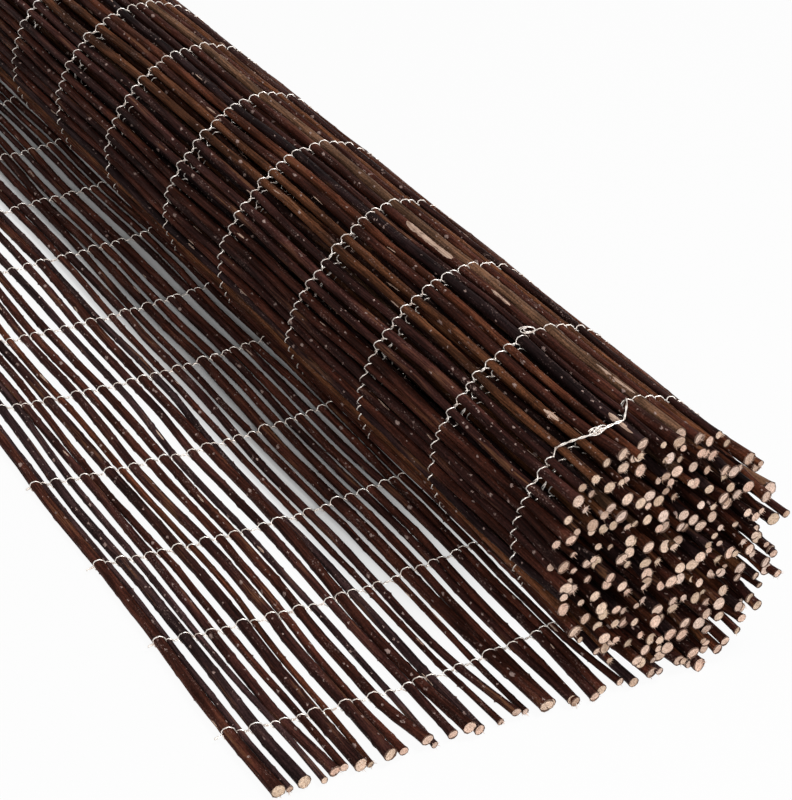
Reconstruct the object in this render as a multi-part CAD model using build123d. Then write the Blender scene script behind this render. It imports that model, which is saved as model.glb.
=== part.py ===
from build123d import *
import os
from bisect import bisect_right
from math import cos, hypot, pi, sin
from random import Random

# A willow screen: unpeeled willow rods laid side by side, butt and tip by turns, and bound by rows of
# wire. Most of the mat is rolled up. Its free end lies flat on the ground beside the roll.
# Millimetres. The rods run along Y, the flat stretch lies towards -X of the roll, and up is +Z.

# The rods
ROD_LENGTH = 1200.0
THICKEST_BUTT = 8.2
THINNEST_BUTT = 6.4
THICKEST_TIP = 6.2
THINNEST_TIP = 4.0
SMALLEST_ROD_GAP = 0.5
LARGEST_ROD_GAP = 4.4
TAIL_ROD_SIDES = 8
ROLL_ROD_SIDES = 6

# The binding wires, two strands to a row
WIRE_THICKNESS = 0.8
SEAT_CLEARANCE = 0.1
ROW_COUNT = 12
FIRST_ROW_INSET = 58.0
LAST_ROW_INSET = 42.0
ROW_DRIFT = (0.0, 0.0, -5.0, 1.0, 8.0, 3.0, 9.0, 6.0, 0.0, 0.0, -3.0, 0.0)
STRAND_END_LENGTH = 5.0
STEEPEST_STRAND_DIP = 0.36

# The roll and the flat stretch, measured from the roll's axis
ROLL_RADIUS = 88.0
CORE_RADIUS = 10.0
LOOP_SIDES = 16
TAIL_LENGTH = 282.0

# The rods' uneven ends, seen along +Y: the roll's lower right side stands out the most
END_SCATTER = 7.0
ROLL_END_OVERHANG = 5.0
ROLL_END_LEAN = 23.0
LEAN_ANGLE = -57.0
TAIL_EDGE_INSET = 10.0

# The flat stretch from its free edge inward: each rod's near end as a share of the thickest butt, and
# the clear gap to the next rod
TAIL_RODS = (
    (1.00, 0.3), (0.52, 4.2), (0.98, 4.6), (0.50, 2.4), (0.80, 3.2), (0.62, 3.2), (1.00, 3.4),
    (0.50, 4.2), (0.98, 3.2), (0.68, 4.2), (0.88, 4.4), (0.50, 6.4), (0.75, 3.0), (0.94, 0.3),
    (0.80, 5.6), (0.52, 1.2), (0.68, 4.6), (0.50, 4.0), (1.03, 3.6), (0.76, 4.4), (0.75, 0.4),
    (0.74, 6.0), (0.76, 1.6), (0.75, 3.4), (0.62, 3.2), (0.80, 3.6),
)
BUTT_SHARE = 0.70

SEED = 11
MARCH_STEP = 0.2

row_pitch = (ROD_LENGTH - FIRST_ROW_INSET - LAST_ROW_INSET) / (ROW_COUNT - 1)
corner_step = 2 * pi / LOOP_SIDES
# One turn must clear the rods of the turn outside it, also where the roll comes down on the flat stretch
turn_thickness = THICKEST_BUTT + WIRE_THICKNESS + 2 * SEAT_CLEARANCE
layer_pitch = turn_thickness / cos(corner_step / 2) * LOOP_SIDES / (LOOP_SIDES - 1)
roll_centre_height = WIRE_THICKNESS / 2 + ROLL_RADIUS * cos(corner_step / 2)


def mat_route():
    """Corners of the line that the mat's lower strands follow: along the ground, then inward in a roll."""
    corners = [(-TAIL_LENGTH - STRAND_END_LENGTH, WIRE_THICKNESS / 2)]
    angle = -pi / 2 + corner_step / 2
    radius = ROLL_RADIUS
    while radius > CORE_RADIUS:
        corners.append((radius * cos(angle), roll_centre_height + radius * sin(angle)))
        angle += corner_step
        radius -= layer_pitch / LOOP_SIDES
    return corners


def directions(corners):
    """The unit direction of each run between two corners."""
    runs = []
    for (x0, z0), (x1, z1) in zip(corners, corners[1:]):
        length = hypot(x1 - x0, z1 - z0)
        runs.append(((x1 - x0) / length, (z1 - z0) / length))
    return runs


def mitres(corners):
    """How far each corner moves, in X and Z, when the line moves 1 mm to its left."""
    runs = directions(corners)
    moves = []
    for before, after in zip([runs[0]] + runs, runs + [runs[-1]]):
        share = 1 + before[0] * after[0] + before[1] * after[1]
        moves.append((-(before[1] + after[1]) / share, (before[0] + after[0]) / share))
    return moves


def moved_line(corners, distance):
    """The line moved to its left by a distance, with sharp corners."""
    return [(x + mx * distance, z + mz * distance) for (x, z), (mx, mz) in zip(corners, mitres(corners))]


class Route:
    """The mat's line, on which a rod's seat is found by its travel from the free edge."""

    def __init__(self, corners):
        self.corners = corners
        self.mitres = mitres(corners)
        self.runs = directions(corners)
        self.starts = [0.0]
        for (x0, z0), (x1, z1) in zip(corners, corners[1:]):
            self.starts.append(self.starts[-1] + hypot(x1 - x0, z1 - z0))
        self.length = self.starts[-1]

    def run_at(self, travel):
        """The number of the run that holds this travel."""
        return min(bisect_right(self.starts, travel), len(self.runs)) - 1

    def seat(self, travel, height):
        """The point this far along the mat and this high above the middle of its lower strands."""
        number = self.run_at(travel)
        share = (travel - self.starts[number]) / (self.starts[number + 1] - self.starts[number])
        ends = []
        for (x, z), (mx, mz) in zip(self.corners[number:number + 2], self.mitres[number:number + 2]):
            ends.append((x + mx * height, z + mz * height))
        (x0, z0), (x1, z1) = ends
        return x0 + (x1 - x0) * share, z0 + (z1 - z0) * share


class Rod:
    """A straight willow rod that tapers from one end to the other."""

    def __init__(self, near_thickness, far_thickness):
        self.near_thickness = near_thickness
        self.far_thickness = far_thickness
        self.travel = 0.0
        self.near_end = 0.0
        self.far_end = ROD_LENGTH

    def thickness(self, y):
        """The rod's thickness at this place along it."""
        return self.near_thickness + (self.far_thickness - self.near_thickness) * y / ROD_LENGTH

    def centre(self, route, y):
        """The middle of the rod at this place along it, where it rests on the lower strands."""
        return route.seat(self.travel, WIRE_THICKNESS / 2 + SEAT_CLEARANCE + self.thickness(y) / 2)


def clear_gap(route, one, other):
    """The clear gap between two rods that lie side by side, at the end where it is smaller."""
    gaps = []
    for y in (0.0, ROD_LENGTH):
        (x0, z0), (x1, z1) = one.centre(route, y), other.centre(route, y)
        gaps.append(hypot(x1 - x0, z1 - z0) - (one.thickness(y) + other.thickness(y)) / 2)
    return min(gaps)


def sorted_rod(chance, number):
    """A rod picked from the bundle, laid butt or tip first by turns with a few out of order."""
    butt = chance.uniform(THINNEST_BUTT, THICKEST_BUTT)
    tip = chance.uniform(THINNEST_TIP, THICKEST_TIP)
    out_of_order = chance.random() < 0.2
    butt_is_near = (number % 2 == 0) != out_of_order
    return Rod(butt, tip) if butt_is_near else Rod(tip, butt)


def tail_rod(chance, share):
    """A rod of the flat stretch, whose near end is as thick as the tail's list says."""
    if share >= BUTT_SHARE:
        return Rod(share * THICKEST_BUTT, chance.uniform(THINNEST_TIP, THICKEST_TIP))
    return Rod(share * THICKEST_BUTT, chance.uniform(THINNEST_BUTT, THICKEST_BUTT))


def set_ends(route, rod, chance):
    """Gives a rod its uneven ends."""
    x, z = rod.centre(route, 0.0)
    if in_tail(route, rod):
        roll_side = -ROLL_END_OVERHANG + ROLL_END_LEAN * sin(LEAN_ANGLE * pi / 180)
        trend = roll_side + (TAIL_EDGE_INSET - roll_side) * -x / TAIL_LENGTH
        scatter = END_SCATTER / 3
    else:
        lean = x * cos(LEAN_ANGLE * pi / 180) + (z - roll_centre_height) * sin(LEAN_ANGLE * pi / 180)
        trend = -ROLL_END_OVERHANG - ROLL_END_LEAN * lean / ROLL_RADIUS
        scatter = END_SCATTER
    rod.near_end = trend + chance.uniform(-scatter, scatter)
    rod.far_end = ROD_LENGTH + chance.uniform(-END_SCATTER, END_SCATTER)


def in_tail(route, rod):
    """Whether a rod lies on the ground, on the flat stretch's side of the roll's axis."""
    return route.run_at(rod.travel) == 0 and rod.centre(route, 0.0)[0] < 0


def turn_number(route, rod):
    """The turn of the roll that holds a rod, counted from outside."""
    return 1 + max(route.run_at(rod.travel) - 1, 0) // LOOP_SIDES


def lay_rods(route):
    """All the rods in their order from the free edge of the flat stretch to the core of the roll."""
    chance = Random(SEED)
    rods = []
    travel = STRAND_END_LENGTH + THICKEST_BUTT / 2
    gap = 0.0
    while travel < route.length:
        number = len(rods)
        if number < len(TAIL_RODS):
            share, next_gap = TAIL_RODS[number]
            rod = tail_rod(chance, share)
        else:
            rod = sorted_rod(chance, number)
            next_gap = chance.uniform(SMALLEST_ROD_GAP, LARGEST_ROD_GAP)
        rod.travel = travel
        while rods and rod.travel < route.length and clear_gap(route, rods[-1], rod) < gap:
            rod.travel += MARCH_STEP
        if rod.travel < route.length:
            set_ends(route, rod, chance)
            rods.append(rod)
        travel = rod.travel + MARCH_STEP
        gap = next_gap
    return rods


def rod_section(route, rod, y, sides):
    """The corners of a rod's section at one end, one of them on the strands that carry it."""
    x, z = rod.centre(route, y)
    run_x, run_z = route.runs[route.run_at(rod.travel)]
    plane = Plane(origin=(x, y, z), x_dir=(run_x, 0, run_z), z_dir=(0, -1, 0))
    section = plane * RegularPolygon(rod.thickness(y) / 2, sides, rotation=90)
    return [edge @ 0 for edge in section.face().outer_wire().order_edges()]


def rod_solid(route, rod):
    """A rod, with flat walls from its near end to its far end."""
    sides = TAIL_ROD_SIDES if in_tail(route, rod) else ROLL_ROD_SIDES
    near = rod_section(route, rod, rod.near_end, sides)
    far = rod_section(route, rod, rod.far_end, sides)
    faces = [Face(Wire.make_polygon(near)), Face(Wire.make_polygon(far))]
    for one in range(sides):
        other = (one + 1) % sides
        faces.append(Face(Wire.make_polygon([near[one], near[other], far[other], far[one]])))
    return Solid(Shell(faces))


def strand(line, y):
    """A strand of wire that follows a line in the XZ plane."""
    outline = moved_line(line, WIRE_THICKNESS / 2) + moved_line(line, -WIRE_THICKNESS / 2)[::-1]
    start = y - WIRE_THICKNESS / 2
    face = make_face(Polyline(*[(x, start, z) for x, z in outline], close=True))
    return extrude(face, WIRE_THICKNESS, dir=(0, 1, 0))


def upper_line(route, rods, y):
    """The line of a row's upper strand: up round the edge rod, then over the flat stretch to the roll."""
    shadow_edge = -ROLL_RADIUS * sin(1.5 * corner_step)
    open_rods = [rod for rod in rods if in_tail(route, rod) and rod.centre(route, y)[0] < shadow_edge]
    edge_x, edge_z = open_rods[0].centre(route, y)
    side_reach = open_rods[0].thickness(y) / 2 * cos(pi / TAIL_ROD_SIDES) + SEAT_CLEARANCE + WIRE_THICKNESS / 2
    reach = side_reach / cos(pi / TAIL_ROD_SIDES)
    low = WIRE_THICKNESS * 1.5
    line = [(edge_x - reach - STRAND_END_LENGTH / 2, low), (edge_x - reach, low), (edge_x - reach, edge_z)]
    line.append((edge_x - reach * sin(pi / 4), edge_z + reach * cos(pi / 4)))
    height = SEAT_CLEARANCE + WIRE_THICKNESS / 2 / cos(pi / TAIL_ROD_SIDES)
    middles = [(rod.centre(route, y), rod.thickness(y)) for rod in open_rods]
    tops = [(x, z + thickness / 2 + height) for (x, z), thickness in middles]
    for x, z in tops:
        spanned = max(other_z - STEEPEST_STRAND_DIP * abs(other_x - x) for other_x, other_z in tops)
        if z >= spanned:
            line.append((x, z))
    return line


def row_place(number):
    """Where a row of binding wire lies along the rods."""
    return FIRST_ROW_INSET + number * row_pitch + ROW_DRIFT[number % len(ROW_DRIFT)]


def wire_row(route, rods, number):
    """A row's two strands. The rows next to the rods' ends are followed right into the roll."""
    y = row_place(number)
    end_row = number in (0, ROW_COUNT - 1)
    lower_line = route.corners if end_row else route.corners[:LOOP_SIDES + 2]
    return [strand(lower_line, y), strand(upper_line(route, rods, y), y)]


def make_nodes():
    """Every piece of the screen, as a list of solids under its node's name."""
    route = Route(mat_route())
    rods = lay_rods(route)
    nodes = {}
    for rod in rods:
        if in_tail(route, rod):
            name = f"tail_rod_{len(nodes) + 1:02d}"
        else:
            name = f"roll_turn_{turn_number(route, rod)}_rods"
        nodes.setdefault(name, []).append(rod_solid(route, rod))
    for number in range(ROW_COUNT):
        nodes[f"wire_row_{number + 1:02d}"] = wire_row(route, rods, number)
    return nodes


def main():
    """Sets the origin under the middle of the screen, on the ground, and writes each node."""
    nodes = make_nodes()
    box = Compound([solid for solids in nodes.values() for solid in solids]).bounding_box()
    to_origin = Location((-box.center().X, -box.center().Y, -box.min.Z))
    os.makedirs("parts", exist_ok=True)
    for name, solids in nodes.items():
        moved = [to_origin * solid for solid in solids]
        export_step(moved[0] if len(moved) == 1 else Compound(moved), f"parts/{name}.step")
    print("nodes", len(nodes), "solids", sum(len(solids) for solids in nodes.values()))
    print("size", box.size, "moved by", to_origin.position)


main()
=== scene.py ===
from math import atan2, cos, exp, hypot, pi, radians, sin
from random import Random

import bpy
import numpy as np
from mathutils import Matrix, Vector


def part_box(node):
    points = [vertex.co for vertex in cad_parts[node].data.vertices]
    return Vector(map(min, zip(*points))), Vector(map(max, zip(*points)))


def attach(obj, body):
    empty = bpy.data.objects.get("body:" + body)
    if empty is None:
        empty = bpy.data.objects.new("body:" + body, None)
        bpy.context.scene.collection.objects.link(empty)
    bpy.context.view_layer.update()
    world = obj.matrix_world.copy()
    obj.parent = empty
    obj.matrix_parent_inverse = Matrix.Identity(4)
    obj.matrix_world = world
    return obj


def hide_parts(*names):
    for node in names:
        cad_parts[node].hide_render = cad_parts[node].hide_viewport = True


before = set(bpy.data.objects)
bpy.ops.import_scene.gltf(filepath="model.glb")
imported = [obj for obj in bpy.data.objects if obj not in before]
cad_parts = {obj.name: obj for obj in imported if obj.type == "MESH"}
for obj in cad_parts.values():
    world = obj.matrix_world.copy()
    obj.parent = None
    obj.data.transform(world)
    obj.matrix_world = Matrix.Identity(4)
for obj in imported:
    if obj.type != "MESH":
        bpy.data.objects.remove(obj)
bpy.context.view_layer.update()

# Lengths are in metres. The rods run along Y, and the flat stretch lies towards -X of the roll.

MM = 0.001
SEED = 5

# A solid's corners this near to its end belong to that end
END_REACH = 0.01

# The rods' form. The flat stretch and the first turns are detailed, and deeper turns show only their ends.
OUTER_SIDES = 10
INNER_SIDES = 9
DETAILED_TURNS = 2
INNER_END_LENGTH = 0.10
INNER_END_RINGS = 7
UNEVENNESS = 0.03
OVAL = 0.08

# The rods' nodes, where buds sit and the rods kink a little
FIRST_NODE = 0.010
NODE_SPACING = (0.022, 0.046)
NODE_HALF_LENGTH = 0.0038
NODE_SWELL = 0.15
BESIDE_NODE = (0.98, 1.04)
BETWEEN_NODES = (0.98, 1.08)
KINK = 0.00026
KINK_RISE = 0.6 * KINK
BUD_SHARE = 0.85
BUD_LENGTH = (0.8 * MM, 1.7 * MM)
BUD_WIDTH = (0.5 * MM, 1.1 * MM)
BUD_HEIGHT = (0.25 * MM, 0.8 * MM)
BUD_SEAT = 1.07

# The rods' bends: waves shared with their neighbours, waves of their own, and ends that splay
BEND_SHARED = 0.0016
SHARED_WAVES = ((0.61, 0.23), (0.37, -0.31))
BEND_OWN = 0.0013
OWN_WAVES = ((0.35, 0.9), (0.16, 0.3))
SHORT_WAVE_SHARE = 0.25
RISE_SHARE = 0.3
SPLAY = 0.0022
SPLAY_POWER = 1.5
SPLAY_RISE = 0.8
FLAT_DROP = 0.0005

# The rods' cut and frayed ends
END_FLARE = 0.24
FLARE_LENGTH = 0.006
RIM_DEPTH = 0.00025
CUT_RINGS = (1.0, 0.92, 0.6, 0.28)
FRAYED_SHARE = 0.58
FIBRE_WIDTH = (0.12 * MM, 0.34 * MM)
FIBRE_ROOT = 0.6 * MM

# Two kinds of frayed end: how many fibres, how far they spread and how long they are
WIDE_SHARE = 0.6
WIDE_FRAY = ((9, 16), (0.5 * MM, 2.6 * MM), (0.8 * MM, 3.2 * MM))
NARROW_FRAY = ((3, 7), (-0.3 * MM, 1.0 * MM), (1.0 * MM, 4.5 * MM))

# The rods' bark, with painted shade that darkens the bark of the roll's deeper turns
SHADES = (0.7, 1.35)
INNER_PAINTED_SHADE = 0.5
PEELED_SHARE = 0.10
PEELED_LENGTH = (0.004, 0.016)
PEELED_WIDTH = (0.8 * MM, 2.0 * MM)
PEELED_STEP = 4 * MM

# How far the middle and the edges of a bare strip lie from its rod's axis, in shares of the rod's radius,
# and how much more its very middle stands out
BARE_SEAT = 1.035
BARE_EDGE = 0.97
BARE_CROWN = 0.12 * MM

# The binding wires
STRAND_RADIUS = 0.00042
STRAND_SIDES = 5
ARCH_ANGLES = (165, 135, 90, 45, 15)
ARCH_SLANT = 0.0015
ARCH_LIFT = 0.45 * MM
TWIST_RADIUS = 0.00055
TWIST_SHARES = (0.3, 0.5, 0.7)

# The short twisted ends at the mat's free edge. The twist is in half turns.
CURL_REACH = (3.5 * MM, 6.0 * MM)
CURL_STEPS = 8
CURL_TWIST = 3.5
CURL_DROOP = 0.35
CURL_SLANT = 0.5 * MM

# How the rows run: their free ends lie further along the rods, and their middles bow back. On the roll they
# lie back a little, and each wanders by its own amount, most at one angle round the roll.
ROW_SAG = 0.0128
ROW_BOW = 0.9 * ROW_SAG
ROLL_SAG = 0.1 * ROW_SAG
ROLL_WANDER = (0.002, 0.007, 0.009, 0.020, 0.014, 0.015, 0.010, 0.006, 0.004, 0.007, 0.009, 0.004)
WANDER_ANGLE = radians(135)
WANDER_WIDTH = radians(45)

# Where the first row's wire has come loose: angles round the roll's axis, places along the rods from their
# near ends, and how far the wire stands off the roll
LOOSE_ANGLES = tuple(radians(angle) for angle in (86, 89, 96.5, 112, 124, 127))
LOOSE_PLACES = (0.056, 0.050, 0.038, 0.042, 0.052, 0.054)
LOOSE_LIFT = 0.0012
LOOSE_STEPS = 30

# From the rods' near ends to the first row of wire
FIRST_ROW_INSET = 0.058

# Ragged loops where wires were joined: the row, the angle round the roll and the size of each loop. A loop
# has LOOP_STEPS steps, and LOOP_ROUND of them make a full turn.
SPLICES = (
    (0, 109, (0.0040, 0.0030, 0.0022)),
    (1, 92, (0.0048, 0.0036)),
)
LOOP_STEPS = 18
LOOP_ROUND = 16
LOOP_GROWTH = 0.02
LOOP_SHIFT = 0.04
LOOP_LEAN = (0.15, 0.45)
LOOP_UNEVENNESS = 0.1
LOOP_LENGTH = 0.7
LOOP_RADIUS = 0.85 * STRAND_RADIUS

# Bare marks on single rods of the roll: the angle round the roll, the mark's near and far end, its width
BARE_MARKS = (
    (87.5, 0.262, 0.322, 0.0058),
    (84.0, 0.190, 0.214, 0.0024),
    (80.0, 0.060, 0.100, 0.0026),
    (100.0, 0.026, 0.052, 0.0050),
)
MARK_TURN = 0.25
MARK_TINT = (0.3, 0.2, 0.15, 0.2)

# The pale stub of a rod that broke off, and the lightest rod, each at an angle round the roll
STUB_ANGLE = 116.6
STUB_PLACE = 0.0796
STUB_MARK = (-9 * MM, 7 * MM)
STUB_WIDTH = 4.5 * MM
LIGHT_ROD_ANGLE = 78.0

# The studio. The floor's glow fades between two distances from the roll's axis, and between two distances
# from the rods' near ends: painted shade on the floor beside the roll, where its real shadow shows too.
FLOOR_GLOW = 0.94
PAINTED_SHADE_GLOW = 0.0
PAINTED_SHADE_REACH = (0.160, 0.097)
PAINTED_SHADE_ALONG = (0.058, 0.290)
SKY_STRENGTH = 0.26
FLOOR_SIZE = 8.0
FLOOR_DROP = 0.0002
PAPER = (0.62, 0.62, 0.62, 1)

# The camera, from a fit to the photograph: its place from the roll's near end, and its angles in degrees
CAMERA_FROM_ROLL = Vector((-0.7273, -0.8300, 0.9494))
CAMERA_TURN = -32.243
CAMERA_DROP = 34.496
CAMERA_ROLL = 1.055
CAMERA_LENS = 97.22
SENSOR_WIDTH = 36


class Rod:
    """A rod of the frame: its straight axis, its thickness and its place in the mat."""

    def __init__(self, node, near, far, near_radius, far_radius):
        self.node = node
        self.near, self.far = near, far
        self.near_radius, self.far_radius = near_radius, far_radius
        self.order = 0.0
        self.turn = 0

    def share(self, y):
        """How far along the rod this place is, from 0 to 1."""
        return (y - self.near[1]) / (self.far[1] - self.near[1])

    def radius(self, y):
        """The rod's radius at this place along it."""
        return self.near_radius + (self.far_radius - self.near_radius) * self.share(y)

    def straight(self, y):
        """The middle of the rod at this place along it, as a point in the XZ plane."""
        point = self.near + (self.far - self.near) * self.share(y)
        return np.array([point[0], point[2]])


def loose_solids(node):
    """The corners of each separate solid of a node."""
    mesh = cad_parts[node].data
    places = np.empty(len(mesh.vertices) * 3)
    mesh.vertices.foreach_get("co", places)
    corners, same = np.unique(np.round(places.reshape(-1, 3), 7), axis=0, return_inverse=True)
    same = same.ravel()
    leader = list(range(len(corners)))

    def find(one):
        while leader[one] != one:
            leader[one] = leader[leader[one]]
            one = leader[one]
        return one

    for polygon in mesh.polygons:
        first = find(same[polygon.vertices[0]])
        for vertex in polygon.vertices[1:]:
            leader[find(same[vertex])] = first
    groups = {}
    for number in range(len(corners)):
        groups.setdefault(find(number), []).append(corners[number])
    return [np.array(points) for points in groups.values()]


def read_rods():
    """Every rod of the frame, from its solid's corners at both ends."""
    rods = []
    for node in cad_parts:
        if node.startswith("wire_row"):
            continue
        for corners in loose_solids(node):
            ends = []
            for y in (corners[:, 1].min(), corners[:, 1].max()):
                ring = corners[np.abs(corners[:, 1] - y) < END_REACH]
                middle = ring.mean(axis=0)
                ends.append((middle, np.linalg.norm(ring - middle, axis=1).mean()))
            rods.append(Rod(node, ends[0][0], ends[1][0], ends[0][1], ends[1][1]))
            rods[-1].turn = 0 if node.startswith("tail") else int(node.split("_")[2])
    return rods


def roll_form():
    """The roll's axis in the XZ plane, its outer radius and the thickness of one turn."""
    low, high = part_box("wire_row_01")
    outer_low, outer_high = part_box("roll_turn_1_rods")
    inner_low, inner_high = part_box("roll_turn_6_rods")
    turns_between = 5
    turn = ((outer_high.x - outer_low.x) - (inner_high.x - inner_low.x)) / (2 * turns_between)
    radius = (high.z - low.z + turn / 2) / 2
    middle_x = (inner_low.x + inner_high.x) / 2 - turn / 4
    return middle_x, radius, radius, turn


roll_x, roll_z, roll_radius, turn_thickness = roll_form()


def set_order(rods):
    """Gives each rod its place in the mat, from the free edge inward."""
    for rod in rods:
        x, z = rod.straight(rod.near[1])
        if rod.turn == 0:
            rod.order = x - roll_x
            continue
        angle = (atan2(z - roll_z, x - roll_x) + pi / 2) % (2 * pi)
        reach = hypot(x - roll_x, z - roll_z) + rod.near_radius
        turns = round((roll_radius - reach) / turn_thickness - angle / (2 * pi))
        rod.order = angle + 2 * pi * max(turns, 0)
    rods.sort(key=lambda rod: (rod.turn > 0, rod.order))


rods = read_rods()
set_order(rods)
row_nodes = sorted(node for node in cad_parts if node.startswith("wire_row"))
row_places = [sum(corner.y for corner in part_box(node)) / 2 for node in row_nodes]
near_y = row_places[0] - FIRST_ROW_INSET
tail_edge = min(rod.near[0] for rod in rods)


def roll_angle(x, z):
    """The angle round the roll's axis, from the right side towards the top."""
    return atan2(z - roll_z, x - roll_x) % (2 * pi)


def roll_surface(angle):
    """How far the roll's outer turn reaches from its axis at an angle: the turn winds inward."""
    return roll_radius - turn_thickness * (angle + pi / 2) / (2 * pi)


def row_y(number, x, z, turn):
    """Where a row of wire lies along the rods: it sags on the flat stretch and wanders on the roll."""
    if turn == 0:
        across = (x - tail_edge) / (roll_x - tail_edge)
        return row_places[number] + ROW_SAG * (1 - across) ** 2 - ROW_BOW * 4 * across * (1 - across)
    away = (roll_angle(x, z) - WANDER_ANGLE) / WANDER_WIDTH
    return row_places[number] - ROLL_WANDER[number] * exp(-away * away) - ROLL_SAG


def bend_rods():
    """Gives each rod its bends: waves shared with its neighbours, its own, and splayed ends."""
    chance = Random(SEED)
    travel = 0.0
    for number, (before, rod) in enumerate(zip([rods[0]] + rods, rods)):
        travel += np.linalg.norm(rod.straight(0) - before.straight(0))
        rod.number = number
        rod.travel = travel
        rod.phases = [chance.uniform(0, 2 * pi) for _ in range(4)]
        rod.waves = [chance.uniform(*lengths) for lengths in OWN_WAVES]
        rod.splays = [(chance.gauss(0, SPLAY), chance.gauss(0, SPLAY)) for _ in range(2)]
        rod.buds = [rod.near[1] + chance.uniform(FIRST_NODE, NODE_SPACING[1])]
        while rod.buds[-1] < rod.far[1] - NODE_SPACING[1]:
            rod.buds.append(rod.buds[-1] + chance.uniform(*NODE_SPACING))
        rod.kinks = [chance.gauss(0, KINK) for _ in rod.buds]
        rod.lifts = [chance.gauss(0, KINK_RISE) for _ in rod.buds]
    for before, rod, after in zip([rods[0]] + rods, rods, rods[1:] + [rods[-1]]):
        along = after.straight(0) - before.straight(0)
        along /= np.linalg.norm(along)
        rod.along = along
        rod.inward = np.array([-along[1], along[0]])


def rod_middle(rod, y):
    """The middle of the bent rod at this place along it, in the XZ plane."""
    shared = BEND_SHARED
    for along, across in SHARED_WAVES:
        shared *= sin(2 * pi * (y / along + rod.travel / across))
    own = BEND_OWN * sin(2 * pi * y / rod.waves[0] + rod.phases[0])
    own += SHORT_WAVE_SHARE * BEND_OWN * sin(2 * pi * y / rod.waves[1] + rod.phases[1])
    rise = RISE_SHARE * BEND_OWN * sin(2 * pi * y / rod.waves[1] + rod.phases[2])
    side = shared + own + np.interp(y, rod.buds, rod.kinks)
    rise += np.interp(y, rod.buds, rod.lifts)
    for reach, (splay, lift) in zip((row_places[0] - y, y - row_places[-1]), rod.splays):
        if reach > 0:
            bent = (reach / FIRST_ROW_INSET) ** SPLAY_POWER
            side += splay * bent
            rise += (abs(lift) if rod.turn == 0 else lift) * bent * SPLAY_RISE
    if rod.turn == 0:
        rise = max(rise, -FLAT_DROP)
    return rod.straight(y) + rod.along * side + rod.inward * rise


# The materials' places on a piece of rods, and on a piece of wire
BARK, CUT, BUD, BARE = range(4)
WIRE = 0

# What sets the patterns of two rods apart: an offset of their places, and another for their cut ends
ROD_OFFSET = 0.05
END_OFFSET = 1.37


class MeshKit:
    """Collects the corners, faces and attributes of one piece."""

    def __init__(self):
        self.corners, self.faces, self.slots = [], [], []
        self.place, self.tint = [], []

    def add(self, corners, faces, slot, place, tint):
        """Adds a closed form or a patch: place has a value for each corner, and tint is one for all."""
        start = len(self.corners)
        self.corners.extend(corners)
        self.place.extend(place)
        self.tint.extend([tint] * len(corners))
        self.faces.extend([tuple(start + corner for corner in face) for face in faces])
        self.slots.extend([slot] * len(faces))

    def piece(self, name, materials):
        """Makes the object from all that was added."""
        mesh = bpy.data.meshes.new(name)
        mesh.from_pydata([tuple(corner) for corner in self.corners], [], self.faces)
        for material in materials:
            mesh.materials.append(material)
        mesh.polygons.foreach_set("material_index", self.slots)
        mesh.polygons.foreach_set("use_smooth", [True] * len(self.faces))
        place = mesh.attributes.new("rod_place", "FLOAT_VECTOR", "POINT")
        place.data.foreach_set("vector", np.array(self.place, dtype=float).ravel())
        tint = mesh.attributes.new("rod_tint", "FLOAT_COLOR", "POINT")
        tint.data.foreach_set("color", np.array(self.tint, dtype=float).ravel())
        mesh.update()
        made = bpy.data.objects.new(name, mesh)
        bpy.context.scene.collection.objects.link(made)
        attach(made, "root")
        return made


def tube_faces(rings, sides):
    """The walls between rings of corners."""
    faces = []
    for ring in range(rings - 1):
        for side in range(sides):
            one, other = ring * sides + side, ring * sides + (side + 1) % sides
            faces.append((one, other, other + sides, one + sides))
    return faces


# Bark colours in linear light, and how often each is drawn on the flat stretch and on the roll
BARKS = (
    (0.048, 0.0138, 0.0085),
    (0.032, 0.0106, 0.0082),
    (0.070, 0.0205, 0.0098),
    (0.020, 0.0088, 0.0086),
    (0.092, 0.0330, 0.0145),
    (0.039, 0.0190, 0.0182),
    (0.135, 0.0680, 0.0390),
)
FLAT_SHARES = (28, 34, 8, 12, 2, 15, 1)
ROLL_SHARES = (30, 22, 22, 12, 8, 4, 2)
LIGHT_BARK = 6


def ring_places(rod, chance, detailed):
    """Where a rod has rings of corners and how much each swells: at its ends, at every bud and between."""
    start, stop = rod.near[1], rod.far[1]
    if not detailed:
        step = INNER_END_LENGTH / INNER_END_RINGS
        near = [start + step * number for number in range(INNER_END_RINGS + 1)]
        far = [stop - step * number for number in range(INNER_END_RINGS + 1)][::-1]
        flares = [1 + END_FLARE * exp(-abs(y - start) / FLARE_LENGTH) for y in near]
        return list(zip(near, flares)) + [(y, 1.0) for y in far]
    rings = [(start, 1 + END_FLARE), (start + FLARE_LENGTH / 2, 1 + END_FLARE / 2)]
    for y, after in zip(rod.buds, rod.buds[1:] + [stop]):
        swell = 1 + NODE_SWELL * chance.uniform(0.2, 1.0)
        beyond = chance.uniform(*BESIDE_NODE)
        rings += [(y - NODE_HALF_LENGTH, 1.0), (y, swell), (y + NODE_HALF_LENGTH, beyond)]
        if after - y > 4 * NODE_HALF_LENGTH:
            rings.append(((y + after) / 2, chance.uniform(*BETWEEN_NODES)))
    rings.append((stop, 1.0))
    return rings


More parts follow.
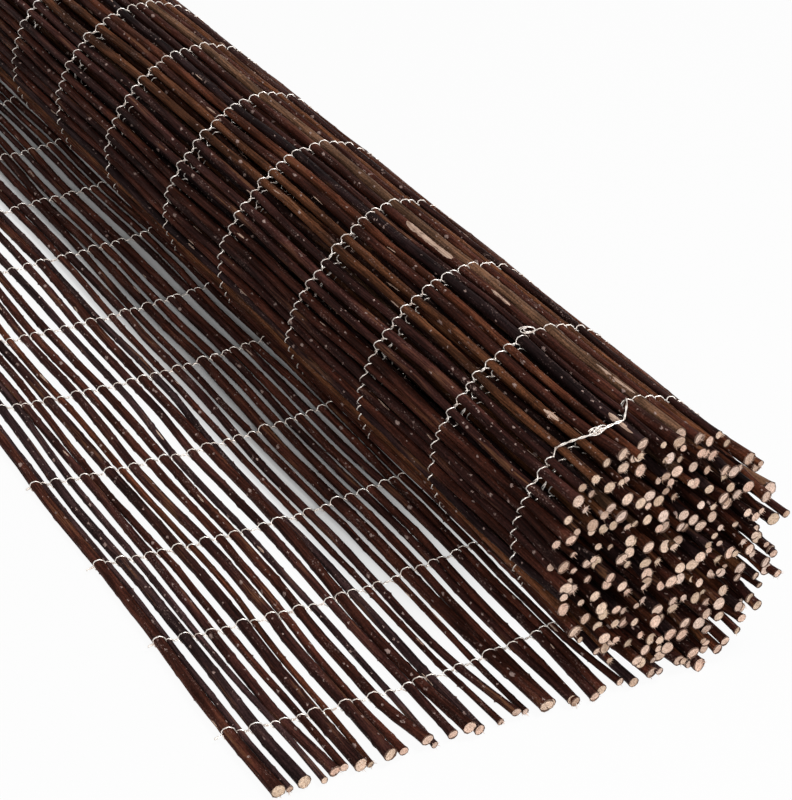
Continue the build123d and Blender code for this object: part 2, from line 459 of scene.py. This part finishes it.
def cut_end(kit, rod, rim, middle, outward, radius, tint, chance):
    """The cut wood at an end: uneven rings from the bark's edge inward, and the pith."""
    sides = len(rim)
    slope = (chance.uniform(-0.3, 0.3), chance.uniform(-0.3, 0.3))
    seed = rod.number * END_OFFSET + outward
    corners, place = [], []
    for share in CUT_RINGS:
        for corner in rim:
            offset = (corner - middle) * share
            point = middle + offset
            if share < 1:
                depth = RIM_DEPTH * chance.uniform(-0.6, 1.6)
                point[1] += outward * (slope[0] * offset[0] + slope[1] * offset[2] - depth)
            corners.append(point)
            place.append((offset[0] / radius, offset[2] / radius, seed))
    corners.append(middle - np.array([0, outward * RIM_DEPTH * chance.uniform(0, 2), 0]))
    place.append((0, 0, seed))
    faces = tube_faces(len(CUT_RINGS), sides)
    last = (len(CUT_RINGS) - 1) * sides
    faces += [(last + side, last + (side + 1) % sides, last + sides) for side in range(sides)]
    if outward > 0:
        faces = [face[::-1] for face in faces]
    kit.add(corners, faces, CUT, place, tint)


# A bud's rim, as shares of its length, width and height
BUD_OUTLINE = (
    (-1, 0, -0.5),
    (-0.4, 1, -0.5),
    (0.5, 0.8, -0.5),
    (1.2, 0, -0.1),
    (0.5, -0.8, -0.5),
    (-0.4, -1, -0.5),
)


def add_bud(kit, rod, y, angle, tint, chance):
    """A bud or its scar: a small flat scale that leans along the rod."""
    middle = rod_middle(rod, y)
    radius = rod.radius(y) * BUD_SEAT
    out = np.array([cos(angle), sin(angle)])
    side = np.array([-sin(angle), cos(angle)])
    length, width = chance.uniform(*BUD_LENGTH), chance.uniform(*BUD_WIDTH)
    height = chance.uniform(*BUD_HEIGHT)
    points = []
    for along, across, up in BUD_OUTLINE + ((chance.uniform(-0.2, 0.5), 0, 1),):
        flat = middle + out * (radius + up * height) + side * across * width * chance.uniform(0.7, 1.2)
        points.append(np.array([flat[0], y + along * length * chance.uniform(0.7, 1.2), flat[1]]))
    faces = [((one + 1) % 6, one, 6) for one in range(6)]
    offset = np.array([middle[0], 0, middle[1] - rod.number * ROD_OFFSET])
    place = [tuple(point - offset) for point in points]
    kit.add(points, faces, BUD, place, tint)


def add_rod(kit, rod, chance):
    """A rod with its bark, buds, peeled places and cut ends."""
    detailed = rod.turn <= DETAILED_TURNS
    sides = OUTER_SIDES if detailed else INNER_SIDES
    rings = ring_places(rod, chance, detailed)
    shares = ROLL_SHARES if rod.turn else FLAT_SHARES
    bark = BARKS[LIGHT_BARK] if rod is light_rod else chance.choices(BARKS, shares)[0]
    shade = chance.uniform(*SHADES)
    # Painted shade: the bark of the deeper turns is darkened for the shade between the roll's inner rods
    if rod.turn >= DETAILED_TURNS:
        shade *= INNER_PAINTED_SHADE
    tint = (bark[0] * shade, bark[1] * shade, bark[2] * shade, chance.random())
    oval = chance.uniform(0.0, OVAL)
    turn = chance.uniform(0, 2 * pi)
    corners, place = [], []
    for y, swell in rings:
        middle = rod_middle(rod, y)
        radius = rod.radius(y) * swell
        for side in range(sides):
            angle = 2 * pi * side / sides
            uneven = chance.uniform(-UNEVENNESS, UNEVENNESS)
            reach = radius * (1 + oval * cos(2 * (angle - turn)) + uneven)
            x, z = reach * cos(angle), reach * sin(angle)
            corners.append(np.array([middle[0] + x, y, middle[1] + z]))
            place.append((x, y, z + rod.number * ROD_OFFSET))
    faces = [face[::-1] for face in tube_faces(len(rings), sides)]
    kit.add(corners, faces, BARK, place, tint)
    for y, rim, outward in ((rings[0][0], corners[:sides], -1), (rings[-1][0], corners[-sides:], 1)):
        flat = rod_middle(rod, y)
        middle = np.array([flat[0], y, flat[1]])
        cut_end(kit, rod, rim, middle, outward, rod.radius(y), tint, chance)
        if chance.random() < FRAYED_SHARE:
            frayed_end(kit, rod, middle, outward, rod.radius(y), tint, chance)
    side = chance.uniform(0, 2 * pi)
    for y in rod.buds if detailed else ():
        side += chance.uniform(1.9, 2.9)
        if chance.random() < BUD_SHARE:
            add_bud(kit, rod, y, side, tint, chance)
        if chance.random() < PEELED_SHARE:
            start = y + chance.uniform(0, NODE_SPACING[0])
            stop = start + chance.uniform(*PEELED_LENGTH)
            bare_mark(kit, rod, start, stop, side + 2, chance.uniform(*PEELED_WIDTH), tint, chance)


def fibre(kit, foot, tip, width, place, tint):
    """A torn fibre: a thin three-sided spike that bends once."""
    way = (tip - foot) / np.linalg.norm(tip - foot)
    side = np.cross(way, (0.31, 0.22, 0.92))
    side /= np.linalg.norm(side)
    up = np.cross(way, side)
    bend = (foot + tip) / 2 + side * width
    corners = []
    for middle, reach in ((foot, width), (bend, 0.7 * width)):
        for turn in (0, 2.1, 4.2):
            corners.append(middle + reach * (side * cos(turn) + up * sin(turn)))
    corners.append(tip)
    faces = tube_faces(2, 3) + [(3, 4, 6), (4, 5, 6), (5, 3, 6)]
    kit.add(corners, faces, CUT, [place] * len(corners), tint)


def frayed_end(kit, rod, middle, outward, radius, tint, chance):
    """Torn fibres that stand out of a roughly cut end, some of them bent away from its middle."""
    counts, spreads, lengths = WIDE_FRAY if chance.random() < WIDE_SHARE else NARROW_FRAY
    for _ in range(chance.randint(*counts)):
        angle, share = chance.uniform(0, 2 * pi), chance.uniform(0.45, 1.0)
        spread = chance.uniform(*spreads)
        length = chance.uniform(*lengths)
        away = np.array([cos(angle), 0, sin(angle)])
        foot = middle + away * radius * share
        foot[1] -= outward * FIBRE_ROOT
        tip = foot + away * spread
        tip[1] += outward * length
        place = (cos(angle) * share, sin(angle) * share, rod.number * END_OFFSET)
        fibre(kit, foot, tip, chance.uniform(*FIBRE_WIDTH), place, tint)


def bare_mark(kit, rod, start, stop, angle, width, tint, chance):
    """A place where the bark has peeled off: a thin ragged strip of bare wood."""
    steps = max(4, round((stop - start) / PEELED_STEP))
    across = (-1.0, -0.5, 0.0, 0.5, 1.0)
    corners, place = [], []
    drift = chance.uniform(-0.25, 0.25)
    for step in range(steps + 1):
        share = step / steps
        y = start + (stop - start) * share
        middle = rod_middle(rod, y)
        radius = rod.radius(y)
        rounded = min(1.0, 9 * share + 0.1, 9 * (1 - share) + 0.1) ** 0.5
        half = width / 2 * rounded * chance.uniform(0.75, 1.1)
        for part in across:
            turn = angle + drift * (share - 0.5) + part * half / radius
            lift = radius * (BARE_SEAT if abs(part) < 1 else BARE_EDGE) + (BARE_CROWN if part == 0 else 0)
            x, z = lift * cos(turn), lift * sin(turn)
            corners.append(np.array([middle[0] + x, y, middle[1] + z]))
            place.append((x, y, z + rod.number * ROD_OFFSET))
    faces = []
    for step in range(steps):
        for part in range(len(across) - 1):
            one = step * len(across) + part
            faces.append((one, one + len(across), one + len(across) + 1, one + 1))
    kit.add(corners, faces, BARE, place, tint)


def rod_at(angle):
    """The rod of the roll's outer turn that lies nearest to an angle, in degrees, round the roll."""
    outer = [rod for rod in rods if rod.turn == 1]
    return min(outer, key=lambda rod: abs(roll_angle(*rod.straight(near_y)) - radians(angle)))


def special_marks(kit, chance):
    """The long bare marks on single rods of the roll, and the pale stub of a rod that broke off."""
    for angle, start, stop, width in BARE_MARKS:
        rod = rod_at(angle)
        facing = roll_angle(*rod.straight(near_y)) + MARK_TURN
        bare_mark(kit, rod, near_y + start, near_y + stop, facing, width, MARK_TINT, chance)
    rod = rod_at(STUB_ANGLE)
    y = near_y + STUB_PLACE
    flat = rod_middle(rod, y) - rod.inward * rod.radius(y)
    middle = np.array([flat[0], y, flat[1]])
    start, stop = (y + reach for reach in STUB_MARK)
    bare_mark(kit, rod, start, stop, radians(STUB_ANGLE), STUB_WIDTH, MARK_TINT, chance)
    for _ in range(2):
        frayed_end(kit, rod, middle, -1, 0.5 * rod.radius(y), MARK_TINT, chance)


class NodeTree:
    """Adds nodes to a material or the world and joins them. Most methods give back their node's output."""

    def __init__(self, owner):
        owner.use_nodes = True
        self.nodes = owner.node_tree.nodes
        self.link = owner.node_tree.links.new

    def feed(self, socket, value):
        """Joins a socket to another one's output, or gives it a value of its own."""
        if isinstance(value, bpy.types.NodeSocket):
            self.link(value, socket)
        else:
            socket.default_value = value

    def node(self, kind, **settings):
        """A new node, with values for its sockets and its own settings."""
        made = self.nodes.new(kind)
        for key, value in settings.items():
            if key in made.inputs:
                self.feed(made.inputs[key], value)
            else:
                setattr(made, key, value)
        return made

    def rod_value(self, name, output="Vector"):
        """An attribute that MeshKit stores at the corners."""
        return self.node("ShaderNodeAttribute", attribute_name=name).outputs[output]

    def math(self, operation, *values):
        """A Math node of two or three values."""
        made = self.node("ShaderNodeMath", operation=operation)
        for socket, value in zip(made.inputs, values):
            self.feed(socket, value)
        return made.outputs[0]

    def vector_math(self, operation, *values):
        """A Vector Math node of up to three vectors."""
        made = self.node("ShaderNodeVectorMath", operation=operation)
        for socket, value in zip(made.inputs, values):
            self.feed(socket, value)
        return made.outputs["Value" if operation == "LENGTH" else "Vector"]

    def scaled(self, colour, share):
        """A colour made lighter or darker by a value."""
        made = self.node("ShaderNodeVectorMath", operation="SCALE")
        self.link(colour, made.inputs[0])
        self.link(share, made.inputs["Scale"])
        return made.outputs[0]

    def between(self, value, low, high, to_low=0.0, to_high=1.0, kind="SMOOTHSTEP"):
        """A value brought from one range to another."""
        made = self.node("ShaderNodeMapRange", interpolation_type=kind)
        self.link(value, made.inputs["Value"])
        for name, number in (("From Min", low), ("From Max", high), ("To Min", to_low), ("To Max", to_high)):
            made.inputs[name].default_value = number
        return made.outputs[0]

    def mixed(self, share, one, other):
        """Two colours mixed, each a socket or a colour."""
        made = self.node("ShaderNodeMix", data_type="RGBA")
        for name, value in (("Factor", share), ("A", one), ("B", other)):
            socket = [socket for socket in made.inputs if socket.name == name and socket.enabled][0]
            self.feed(socket, value)
        return [socket for socket in made.outputs if socket.enabled][0]

    def stretched(self, place, scale):
        """A place with each of its three parts scaled."""
        made = self.node("ShaderNodeMapping")
        self.link(place, made.inputs["Vector"])
        made.inputs["Scale"].default_value = scale
        return made.outputs[0]

    def noise(self, place, scale, detail):
        """A noise: scale is one number, or three where it is stretched."""
        if isinstance(scale, tuple):
            place, scale = self.stretched(place, scale), 1.0
        made = self.node("ShaderNodeTexNoise", Scale=scale, Detail=detail)
        self.link(place, made.inputs["Vector"])
        return made.outputs["Fac"]

    def spots(self, place, scale, share, size):
        """Spots in a share of the cells of a pattern, as a mask."""
        cells = self.node("ShaderNodeTexVoronoi", Scale=1.0)
        self.link(self.stretched(place, scale), cells.inputs["Vector"])
        parts = self.node("ShaderNodeSeparateColor")
        self.link(cells.outputs["Color"], parts.inputs["Color"])
        chosen = self.between(parts.outputs["Red"], 1 - share, 1.01 - share)
        reach = self.between(parts.outputs["Green"], 0.0, 1.0, 0.5 * size, 1.5 * size)
        distance = self.math("DIVIDE", cells.outputs["Distance"], reach)
        inside = self.between(distance, 0.7, 1.1, 1.0, 0.0)
        return self.math("MULTIPLY", inside, chosen)

    def finish(self, colour, roughness, height=None, strength=0.0, depth=0.0):
        """Gives the shader its colour, its roughness and its fine relief."""
        shader = self.nodes["Principled BSDF"]
        self.link(colour, shader.inputs["Base Color"])
        self.feed(shader.inputs["Roughness"], roughness)
        if height is not None:
            bump = self.node("ShaderNodeBump", Strength=strength, Distance=depth)
            self.link(height, bump.inputs["Height"])
            self.link(bump.outputs[0], shader.inputs["Normal"])
        return shader


# How bark differs from its rod's own colour: worn and dull places, and pale and dark flecks
WORN_BARK = (0.140, 0.062, 0.028, 1)
DULL_BARK = (0.095, 0.058, 0.050, 1)
PALE_FLECK = (0.46, 0.34, 0.30, 1)
DARK_FLECK = (0.16, 0.095, 0.080, 1)
FLECK_RAGGEDNESS = (0.0024, 0.0040, 0.0024)


def bark_material():
    """Willow bark: dark streaks along the rod, worn warm patches, a dull bloom and pale pores."""
    material = bpy.data.materials.new("willow_bark")
    tree = NodeTree(material)
    place = tree.rod_value("rod_place")
    streaks = tree.noise(place, (900, 30, 900), 3.0)
    patches = tree.noise(place, (110, 13, 110), 2.0)
    bloom = tree.noise(place, (210, 34, 210), 3.0)
    grit = tree.node("ShaderNodeTexNoise", Scale=1.0, Detail=2.0)
    tree.link(tree.stretched(place, (1100, 560, 1100)), grit.inputs["Vector"])
    mottle = grit.outputs["Fac"]
    ragged = tree.vector_math("MULTIPLY_ADD", grit.outputs["Color"], FLECK_RAGGEDNESS, place)

    patch_light = tree.between(patches, 0.30, 0.68, 0.50, 1.55)
    streak_light = tree.between(streaks, 0.34, 0.68, 1.25, 0.40)
    mottle_light = tree.between(mottle, 0.35, 0.66, 0.70, 1.25)
    light = tree.math("MULTIPLY", tree.math("MULTIPLY", patch_light, streak_light), mottle_light)
    colour = tree.scaled(tree.rod_value("rod_tint", "Color"), light)

    worn_streak = tree.between(streaks, 0.36, 0.58, 0.75, 0.0)
    worn = tree.math("MULTIPLY", tree.between(patches, 0.56, 0.72), worn_streak)
    colour = tree.mixed(worn, colour, WORN_BARK)
    dull_bloom = tree.between(bloom, 0.56, 0.74, 0.0, 0.45)
    dull = tree.math("MULTIPLY", dull_bloom, tree.between(mottle, 0.42, 0.60))
    colour = tree.mixed(dull, colour, DULL_BARK)

    fleck_bloom = tree.between(bloom, 0.52, 0.66, 0.0, 0.55)
    flecks = tree.math("MULTIPLY", tree.between(mottle, 0.60, 0.70), fleck_bloom)
    pores = tree.spots(ragged, (330, 210, 330), 0.20, 0.20)
    marks = tree.spots(ragged, (130, 80, 130), 0.22, 0.14)
    pale = tree.math("MAXIMUM", flecks, tree.math("MAXIMUM", pores, marks))
    colour = tree.mixed(pale, colour, tree.mixed(streaks, PALE_FLECK, DARK_FLECK))

    relief = tree.math("MULTIPLY_ADD", pale, 0.6, tree.math("MULTIPLY_ADD", mottle, 0.6, streaks))
    roughness = tree.between(streaks, 0.3, 0.7, 0.45, 0.75)
    shader = tree.finish(colour, roughness, relief, 0.75, 0.0005)
    shader.inputs["Specular IOR Level"].default_value = 0.04
    return material


# Colours of cut willow, picked by a number of the rod's own
CUT_COLOURS = (
    (0.00, (0.78, 0.51, 0.39, 1)),
    (0.35, (0.84, 0.61, 0.48, 1)),
    (0.62, (0.66, 0.49, 0.34, 1)),
    (0.75, (0.52, 0.34, 0.24, 1)),
    (1.00, (0.86, 0.66, 0.56, 1)),
)
DIRTY_WOOD = (0.30, 0.175, 0.120, 1)
CLEAN_WOOD = (0.88, 0.76, 0.68, 1)
CRACKED_WOOD = (0.20, 0.115, 0.075, 1)
PITH = (0.26, 0.15, 0.095, 1)
CUT_RIM = (0.060, 0.030, 0.020, 1)
SPOKE_STRETCH = (0.15, 0.15, 3.0)


def cut_material():
    """Cut willow wood: pale and rough, with fine spokes, a faint pith and a thin dark rim.

    On a cut end, rod_place is the place across the end in shares of its radius, and a number for the end.
    """
    material = bpy.data.materials.new("cut_wood")
    tree = NodeTree(material)
    place = tree.rod_value("rod_place")
    flat = tree.vector_math("MULTIPLY", place, (1, 1, 0))
    radius = tree.vector_math("LENGTH", flat)
    way = tree.vector_math("NORMALIZE", flat)
    turned = tree.vector_math("MULTIPLY_ADD", place, SPOKE_STRETCH, way)
    spokes = tree.noise(turned, 7.0, 2.0)
    rough = tree.noise(place, 2.6, 4.0)
    grain = tree.noise(place, 11.0, 4.0)

    ramp = tree.node("ShaderNodeValToRGB")
    stops = ramp.color_ramp.elements
    for number, (position, colour) in enumerate(CUT_COLOURS):
        if number >= len(stops):
            stops.new(position)
        stops[number].position = position
        stops[number].color = colour
    tree.link(tree.rod_value("rod_tint", "Alpha"), ramp.inputs[0])
    colour = tree.scaled(ramp.outputs[0], tree.between(rough, 0.3, 0.7, 0.66, 1.12))
    colour = tree.mixed(tree.between(grain, 0.48, 0.64, 0.0, 0.75), colour, DIRTY_WOOD)
    colour = tree.mixed(tree.between(grain, 0.44, 0.34, 0.0, 0.7), colour, CLEAN_WOOD)

    off_middle = tree.between(radius, 0.15, 0.45)
    crack = tree.math("MULTIPLY", tree.between(spokes, 0.56, 0.68, 0.0, 0.6), off_middle)
    colour = tree.mixed(crack, colour, CRACKED_WOOD)
    colour = tree.mixed(tree.between(radius, 0.08, 0.22, 0.5, 0.0), colour, PITH)
    edge = tree.math("MULTIPLY_ADD", grain, 0.16, radius)
    colour = tree.mixed(tree.between(edge, 1.05, 1.16, 0.0, 0.9), colour, CUT_RIM)
    shader = tree.finish(colour, 0.85, tree.math("SUBTRACT", grain, crack), 0.7, 0.0004)
    shader.inputs["Specular IOR Level"].default_value = 0.2
    return material


def bud_material():
    """Buds and leaf scars: dry pinkish grey scales."""
    material = bpy.data.materials.new("bud_scale")
    tree = NodeTree(material)
    place = tree.rod_value("rod_place")
    rough = tree.noise(place, (700, 400, 700), 3.0)
    each = tree.noise(place, (60, 30, 60), 0.0)
    dull, fresh, dark = (0.17, 0.105, 0.090, 1), (0.36, 0.255, 0.220, 1), (0.085, 0.045, 0.036, 1)
    colour = tree.mixed(tree.between(each, 0.42, 0.58), dull, fresh)
    colour = tree.mixed(tree.between(rough, 0.34, 0.58, 0.0, 0.92), colour, dark)
    tree.finish(colour, 0.7)
    return material


def bare_material():
    """Bare wood where the bark has peeled: pinkish beige with fibres and dirt."""
    material = bpy.data.materials.new("bare_wood")
    tree = NodeTree(material)
    place = tree.rod_value("rod_place")
    fibres = tree.noise(place, (1300, 60, 1300), 4.0)
    dirt = tree.noise(place, (420, 160, 420), 3.0)
    pale, brown, dark = (0.54, 0.38, 0.29, 1), (0.30, 0.185, 0.13, 1), (0.115, 0.062, 0.042, 1)
    colour = tree.mixed(tree.between(fibres, 0.35, 0.65), pale, brown)
    colour = tree.mixed(tree.between(dirt, 0.50, 0.68, 0.0, 0.8), colour, dark)
    tree.finish(colour, 0.75, tree.math("SUBTRACT", fibres, dirt), 0.6, 0.0004)
    return material


def wire_material():
    """Galvanised wire: bright, with duller blotches."""
    material = bpy.data.materials.new("galvanised_wire")
    tree = NodeTree(material)
    place = tree.node("ShaderNodeTexCoord").outputs["Object"]
    blotches = tree.noise(place, 260.0, 3.0)
    bright, dull = (0.93, 0.87, 0.81, 1), (0.52, 0.43, 0.37, 1)
    colour = tree.mixed(tree.between(blotches, 0.35, 0.7), bright, dull)
    roughness = tree.between(blotches, 0.3, 0.7, 0.24, 0.46)
    shader = tree.finish(colour, roughness, blotches, 0.2, 0.0001)
    shader.inputs["Metallic"].default_value = 0.5
    return material


def is_loose(number, rod):
    """Whether a rod lies under the loosened stretch of the first row."""
    if number > 0 or rod.turn != 1:
        return False
    return LOOSE_ANGLES[0] < roll_angle(*rod.straight(row_places[0])) < LOOSE_ANGLES[-1]


def loose_stretch(first_side):
    """The loosened stretch: it runs straight over several rods, its two strands twisted together."""
    path = []
    for step in range(LOOSE_STEPS + 1):
        angle = LOOSE_ANGLES[0] + (LOOSE_ANGLES[-1] - LOOSE_ANGLES[0]) * step / LOOSE_STEPS
        turn = pi * step / 3
        reach = roll_surface(angle) + LOOSE_LIFT + first_side * TWIST_RADIUS * sin(turn)
        y = near_y + np.interp(angle, LOOSE_ANGLES, LOOSE_PLACES) + first_side * TWIST_RADIUS * cos(turn)
        path.append(np.array([roll_x + reach * cos(angle), y, roll_z + reach * sin(angle)]))
    return path


def splice(kit, number, angle, radii, chance):
    """Small ragged loops of wire where two lengths were joined."""
    y = row_y(number, roll_x + cos(angle), roll_z + sin(angle), 1)
    if number == 0:
        y = near_y + np.interp(angle, LOOSE_ANGLES, LOOSE_PLACES)
    for radius in radii:
        middle_angle = angle + chance.uniform(-LOOP_SHIFT, LOOP_SHIFT)
        out = np.array([cos(middle_angle), 0, sin(middle_angle)])
        across = np.array([-sin(middle_angle), 0, cos(middle_angle)])
        along = np.array([0, 1, 0])
        lean = chance.uniform(*LOOP_LEAN)
        middle = np.array([roll_x, y, roll_z]) + out * (roll_surface(middle_angle) + LOOSE_LIFT)
        path = []
        for step in range(LOOP_STEPS + 1):
            turn = 2 * pi * step / LOOP_ROUND + chance.uniform(-LOOP_UNEVENNESS, LOOP_UNEVENNESS)
            reach = radius * (1 + LOOP_GROWTH * step)
            round_middle = reach * (LOOP_LENGTH * along * cos(turn) + across * sin(turn))
            path.append(middle + round_middle + out * lean * reach * (0.5 + 0.5 * sin(turn)))
        tube(kit, path, LOOP_RADIUS)


def tube(kit, path, radius):
    """A wire along a path of points, closed at both ends."""
    path = np.array(path)
    ahead = np.empty_like(path)
    ahead[1:-1] = path[2:] - path[:-2]
    ahead[0], ahead[-1] = path[1] - path[0], path[-1] - path[-2]
    ahead /= np.linalg.norm(ahead, axis=1)[:, None]
    side = np.cross(ahead[0], (0.3, 0.9, 0.1))
    corners = []
    for point, way in zip(path, ahead):
        side = side - way * side.dot(way)
        side /= np.linalg.norm(side)
        up = np.cross(way, side)
        for number in range(STRAND_SIDES):
            angle = 2 * pi * number / STRAND_SIDES
            corners.append(point + radius * (side * cos(angle) + up * sin(angle)))
    faces = tube_faces(len(path), STRAND_SIDES)
    faces.append(tuple(range(STRAND_SIDES))[::-1])
    faces.append(tuple(range(len(corners) - STRAND_SIDES, len(corners))))
    kit.add(corners, faces, WIRE, [(0, 0, 0)] * len(corners), (0.5, 0.5, 0.5, 1))


def strand_path(number, first_side, chance):
    """One strand of a row: over a rod, half a twist in the gap, and under the next.

    The other strand starts on the other side, so that the two cross between the rods.
    """
    path = []
    side = first_side
    loosened = False
    for rod, after in zip(rods, rods[1:] + [None]):
        if is_loose(number, rod):
            if not loosened:
                path += loose_stretch(first_side)
            loosened = True
            side = -side
            continue
        x, z = rod.straight(row_places[number])
        y = row_y(number, x, z, rod.turn)
        middle = rod_middle(rod, y)
        reach = rod.radius(y) + STRAND_RADIUS
        lift = chance.uniform(0.0, ARCH_LIFT)
        for angle in ARCH_ANGLES:
            turn = radians(angle)
            flat = middle + rod.along * cos(turn) * reach + rod.inward * side * sin(turn) * (reach + lift)
            path.append(np.array([flat[0], y - side * ARCH_SLANT * cos(turn), flat[1]]))
        if after is None:
            break
        next_x, next_z = after.straight(row_places[number])
        next_y = row_y(number, next_x, next_z, after.turn)
        other = rod_middle(after, next_y)
        gap = np.linalg.norm(other - middle) - rod.radius(y) - after.radius(next_y)
        if gap > 4 * STRAND_RADIUS:
            way = (other - middle) / np.linalg.norm(other - middle)
            start = middle + way * (rod.radius(y) + STRAND_RADIUS)
            length = gap - 2 * STRAND_RADIUS
            for share in TWIST_SHARES:
                turn = pi * share
                flat = start + way * length * share + rod.inward * side * TWIST_RADIUS * sin(turn)
                middle_y = y + (next_y - y) * share
                path.append(np.array([flat[0], middle_y + side * TWIST_RADIUS * cos(turn), flat[1]]))
        side = -side
    return path


def edge_curl(number, chance):
    """The short twisted tail that a row's two strands end in at the free edge of the mat."""
    rod = rods[0]
    x, z = rod.straight(row_places[number])
    y = row_y(number, x, z, 0)
    middle = rod_middle(rod, y)
    start = middle + np.array([-rod.radius(y), 0])
    paths = [[], []]
    reach = chance.uniform(*CURL_REACH)
    droop = CURL_DROOP * rod.radius(y)
    for step in range(CURL_STEPS + 1):
        share = step / CURL_STEPS
        turn = CURL_TWIST * pi * share
        for path, side in zip(paths, (1, -1)):
            height = start[1] - droop * share + side * TWIST_RADIUS * sin(turn)
            path.append(np.array([
                start[0] - share * reach,
                y + side * TWIST_RADIUS * cos(turn) + CURL_SLANT * share,
                max(height, STRAND_RADIUS),
            ]))
    return paths


def make_wires(material):
    """Each row's two strands, twisted round every rod of the mat."""
    chance = Random(SEED + 1)
    for number, node in enumerate(row_nodes):
        kit = MeshKit()
        curls = edge_curl(number, chance)
        for side, curl in zip((1, -1), curls):
            tube(kit, curl[::-1] + strand_path(number, side, chance), STRAND_RADIUS)
        for place, angle, radii in SPLICES:
            if place == number:
                splice(kit, number, radians(angle), radii, chance)
        made = kit.piece(f"twisted_{node}", [material])
        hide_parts(node)


def make_rods(materials):
    """Every rod, as one piece for each node of the frame."""
    chance = Random(SEED + 2)
    kits = {}
    for rod in rods:
        add_rod(kits.setdefault(rod.node, MeshKit()), rod, chance)
    special_marks(kits["roll_turn_1_rods"], chance)
    for node, kit in kits.items():
        made = kit.piece(f"bark_{node}", materials)
        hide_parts(node)


def seen_rays(tree):
    """1 for the rays that show a background: those of the camera, of reflections and through glass."""
    rays = tree.node("ShaderNodeLightPath").outputs
    seen = tree.math("MAXIMUM", rays["Is Camera Ray"], rays["Is Glossy Ray"])
    return tree.math("MAXIMUM", seen, rays["Is Transmission Ray"])


def floor_glow(tree):
    """How much of its white the floor shows: all, fading to none under the mat beside the roll. The fade is
    painted shade, and the floor's real shadow shows there.
    """
    place = tree.node("ShaderNodeSeparateXYZ")
    tree.link(tree.node("ShaderNodeTexCoord").outputs["Object"], place.inputs[0])
    x, y = place.outputs["X"], place.outputs["Y"]
    beside = tree.between(x, roll_x - PAINTED_SHADE_REACH[0], roll_x - PAINTED_SHADE_REACH[1])
    this_side = tree.between(x, roll_x, roll_x - roll_radius / 2)
    behind = tree.between(y, near_y + PAINTED_SHADE_ALONG[0], near_y + PAINTED_SHADE_ALONG[1])
    # Painted shade: a mask of the floor beside the roll, where its white glow is taken away
    shade = tree.math("MULTIPLY", tree.math("MULTIPLY", beside, this_side), behind)
    return tree.between(shade, 0.0, 1.0, FLOOR_GLOW, PAINTED_SHADE_GLOW, "LINEAR")


def make_floor():
    """A pale floor that the camera sees as white, apart from the object's shadow and a strip of painted
    shade beside the roll.
    """
    corners = [(x * FLOOR_SIZE, y * FLOOR_SIZE, 0) for x, y in ((-1, -1), (1, -1), (1, 1), (-1, 1))]
    mesh = bpy.data.meshes.new("floor")
    mesh.from_pydata(corners, [], [(0, 1, 2, 3)])
    floor = bpy.data.objects.new("floor", mesh)
    floor.location.z = -FLOOR_DROP
    bpy.context.scene.collection.objects.link(floor)
    material = bpy.data.materials.new("pale_floor")
    tree = NodeTree(material)
    tree.nodes.clear()
    paper = tree.node("ShaderNodeBsdfDiffuse", Color=PAPER)
    glow = tree.node("ShaderNodeEmission")
    mix = tree.node("ShaderNodeMixShader")
    out = tree.node("ShaderNodeOutputMaterial")
    tree.link(tree.math("MULTIPLY", seen_rays(tree), floor_glow(tree)), mix.inputs[0])
    tree.link(paper.outputs[0], mix.inputs[1])
    tree.link(glow.outputs[0], mix.inputs[2])
    tree.link(mix.outputs[0], out.inputs["Surface"])
    mesh.materials.append(material)


def make_world():
    """Even studio light, white where the camera or a reflection sees it."""
    world = bpy.data.worlds.new("studio")
    bpy.context.scene.world = world
    tree = NodeTree(world)
    background = tree.nodes["Background"]
    background.inputs["Color"].default_value = (1, 1, 1, 1)
    strength = tree.between(seen_rays(tree), 0.0, 1.0, SKY_STRENGTH, 1.0, "LINEAR")
    tree.link(strength, background.inputs["Strength"])


def make_lamp(name, place, target, size, power):
    """A soft square lamp that faces a point."""
    data = bpy.data.lights.new(name, "AREA")
    data.size = size
    data.energy = power
    lamp = bpy.data.objects.new(name, data)
    lamp.location = place
    lamp.rotation_euler = (Vector(target) - Vector(place)).to_track_quat("-Z", "Y").to_euler()
    bpy.context.scene.collection.objects.link(lamp)


def make_camera():
    """The photograph's camera, placed from the roll's axis and the rods' near ends."""
    data = bpy.data.cameras.new("camera")
    data.lens = CAMERA_LENS
    data.sensor_width = SENSOR_WIDTH
    camera = bpy.data.objects.new("camera", data)
    place = Matrix.Translation(Vector((roll_x, near_y, 0)) + CAMERA_FROM_ROLL)
    turn = Matrix.Rotation(radians(CAMERA_TURN), 4, "Z")
    drop = Matrix.Rotation(radians(90 - CAMERA_DROP), 4, "X")
    roll = Matrix.Rotation(radians(CAMERA_ROLL), 4, "Z")
    camera.matrix_world = place @ turn @ drop @ roll
    bpy.context.scene.collection.objects.link(camera)
    bpy.context.scene.camera = camera


bend_rods()
light_rod = rod_at(LIGHT_ROD_ANGLE)
make_camera()
make_rods([bark_material(), cut_material(), bud_material(), bare_material()])
make_wires(wire_material())
make_floor()
make_world()
make_lamp("key", place=(1.2, -0.9, 3.2), target=(0.0, 0.0, 0.0), size=1.2, power=72)
make_lamp("front", place=(-0.9, -3.2, 1.4), target=(0.0, -0.4, 0.0), size=1.4, power=90)
bpy.context.scene.view_settings.view_transform = "Standard"
